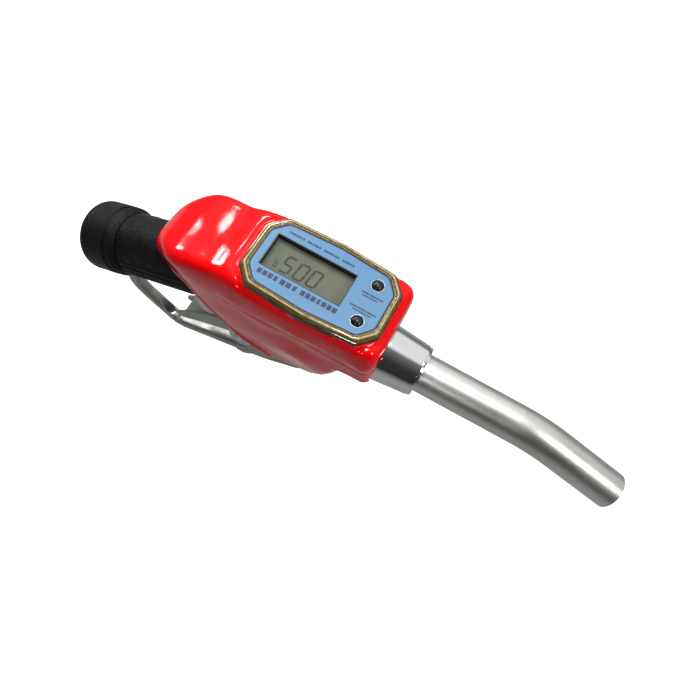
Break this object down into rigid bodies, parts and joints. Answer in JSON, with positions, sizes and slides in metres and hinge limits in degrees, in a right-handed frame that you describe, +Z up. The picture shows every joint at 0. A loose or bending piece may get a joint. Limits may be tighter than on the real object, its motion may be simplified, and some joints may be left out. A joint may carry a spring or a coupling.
{
  "type": "fuel dispensing nozzle with flow meter",
  "caption": "Hand-held fuel dispensing nozzle: lever-worked poppet valve, turbine flow meter with an electronic display, bent spout and swivelling hose inlet.",
  "frame": {"origin": "centre of the hose inlet's mouth, on the swivel's rear face", "axes": "+X along the meter and the straight run of the spout, +Z up out of the display, +Y to the left; the nozzle is symmetric about Y = 0"},
  "size_m": [0.371, 0.055, 0.1708],
  "materials": {
    "cast_aluminium": "as cast",
    "grey_casting": "sand cast, lightly tumbled",
    "red_vinyl": "glossy dip-moulded vinyl",
    "black_grip": "fine crinkle texture",
    "bright_steel": "turned",
    "spring_steel": "oiled",
    "black_rubber": "satin",
    "brass": "turned",
    "white_plastic": "moulded",
    "bush_plastic": "moulded",
    "copper_coil": "wound wire",
    "board_green": "solder mask",
    "black_plastic": "moulded",
    "lcd_grey": "reflective display glass",
    "battery_can": "printed sleeve",
    "clear_plastic": "clear moulded plastic",
    "label_blue": "printed film",
    "polished_aluminium": "polished",
    "satin_aluminium": "satin, drawn tube"
  },
  "bodies": {
    "nozzle": {"nozzle_body": "cast_aluminium", "body_cover": "red_vinyl", "handle_sleeve": "black_grip", "end_knob": "black_grip", "swivel_circlip": "spring_steel", "lever_pivot_pin": "bright_steel", "pivot_pin_clips": "spring_steel", "lever_guard": "grey_casting", "guard_screws": "bright_steel", "valve_seat": "brass", "valve_spring": "spring_steel", "valve_cap": "cast_aluminium", "valve_cap_o_ring": "black_rubber", "stem_packing": "white_plastic", "packing_nut": "brass", "meter_body": "cast_aluminium", "meter_joint_o_ring": "black_rubber", "rear_flow_straightener": "white_plastic", "front_flow_straightener": "white_plastic", "rotor_bushes": "bush_plastic", "straightener_circlips": "spring_steel", "pickup_coil": "copper_coil", "circuit_board": "board_green", "button_switches": "black_plastic", "lcd_module": "lcd_grey", "batteries": "battery_can", "battery_contacts": "bright_steel", "faceplate": "clear_plastic", "faceplate_gasket": "black_rubber", "faceplate_screws": "bright_steel", "face_label": "label_blue", "spout_collar": "polished_aluminium", "spout_o_ring": "black_rubber", "spout_tube": "satin_aluminium"},
    "lever": {"lever": "grey_casting"},
    "valve": {"valve_stem": "bright_steel", "stem_nut": "bright_steel", "valve_poppet": "brass", "poppet_seal": "black_rubber"},
    "rotor": {"turbine_rotor": "white_plastic", "rotor_shaft": "bright_steel"},
    "swivel": {"inlet_swivel": "bright_steel", "swivel_o_rings": "black_rubber", "inlet_strainer": "brass"},
    "display_key": {"display_button": "black_rubber"},
    "calibrate_key": {"calibrate_button": "black_rubber"}
  },
  "joints": [
    {"name": "lever_squeeze", "type": "hinge", "parent": "nozzle", "child": "lever", "pos_m": [0.106, 0, -0.02], "axis": [0, 1, 0], "range_deg": [0, 24.3]},
    {"name": "valve_lift", "type": "slide", "parent": "nozzle", "child": "valve", "axis": [0, 0, 1], "range_m": [0, 0.0092], "stiffness_N_per_m": 1500, "springref_m": -0.01, "deforming": ["valve_spring"]},
    {"name": "rotor_spin", "type": "hinge", "parent": "nozzle", "child": "rotor", "pos_m": [0.156, 0, 0.0445], "axis": [1, 0, 0], "continuous": true},
    {"name": "inlet_swivel_turn", "type": "hinge", "parent": "nozzle", "child": "swivel", "pos_m": [0, 0, 0], "axis": [0.9135, 0, 0.4067], "continuous": true},
    {"name": "display_press", "type": "slide", "parent": "nozzle", "child": "display_key", "axis": [0, 0, -1], "range_m": [0, 0.0008], "stiffness_N_per_m": 900},
    {"name": "calibrate_press", "type": "slide", "parent": "nozzle", "child": "calibrate_key", "axis": [0, 0, -1], "range_m": [0, 0.0008], "stiffness_N_per_m": 900}
  ],
  "couplings": [
    {"joint": "lever_squeeze", "follows": "valve_lift", "rad_per_m": 45.455}
  ]
}
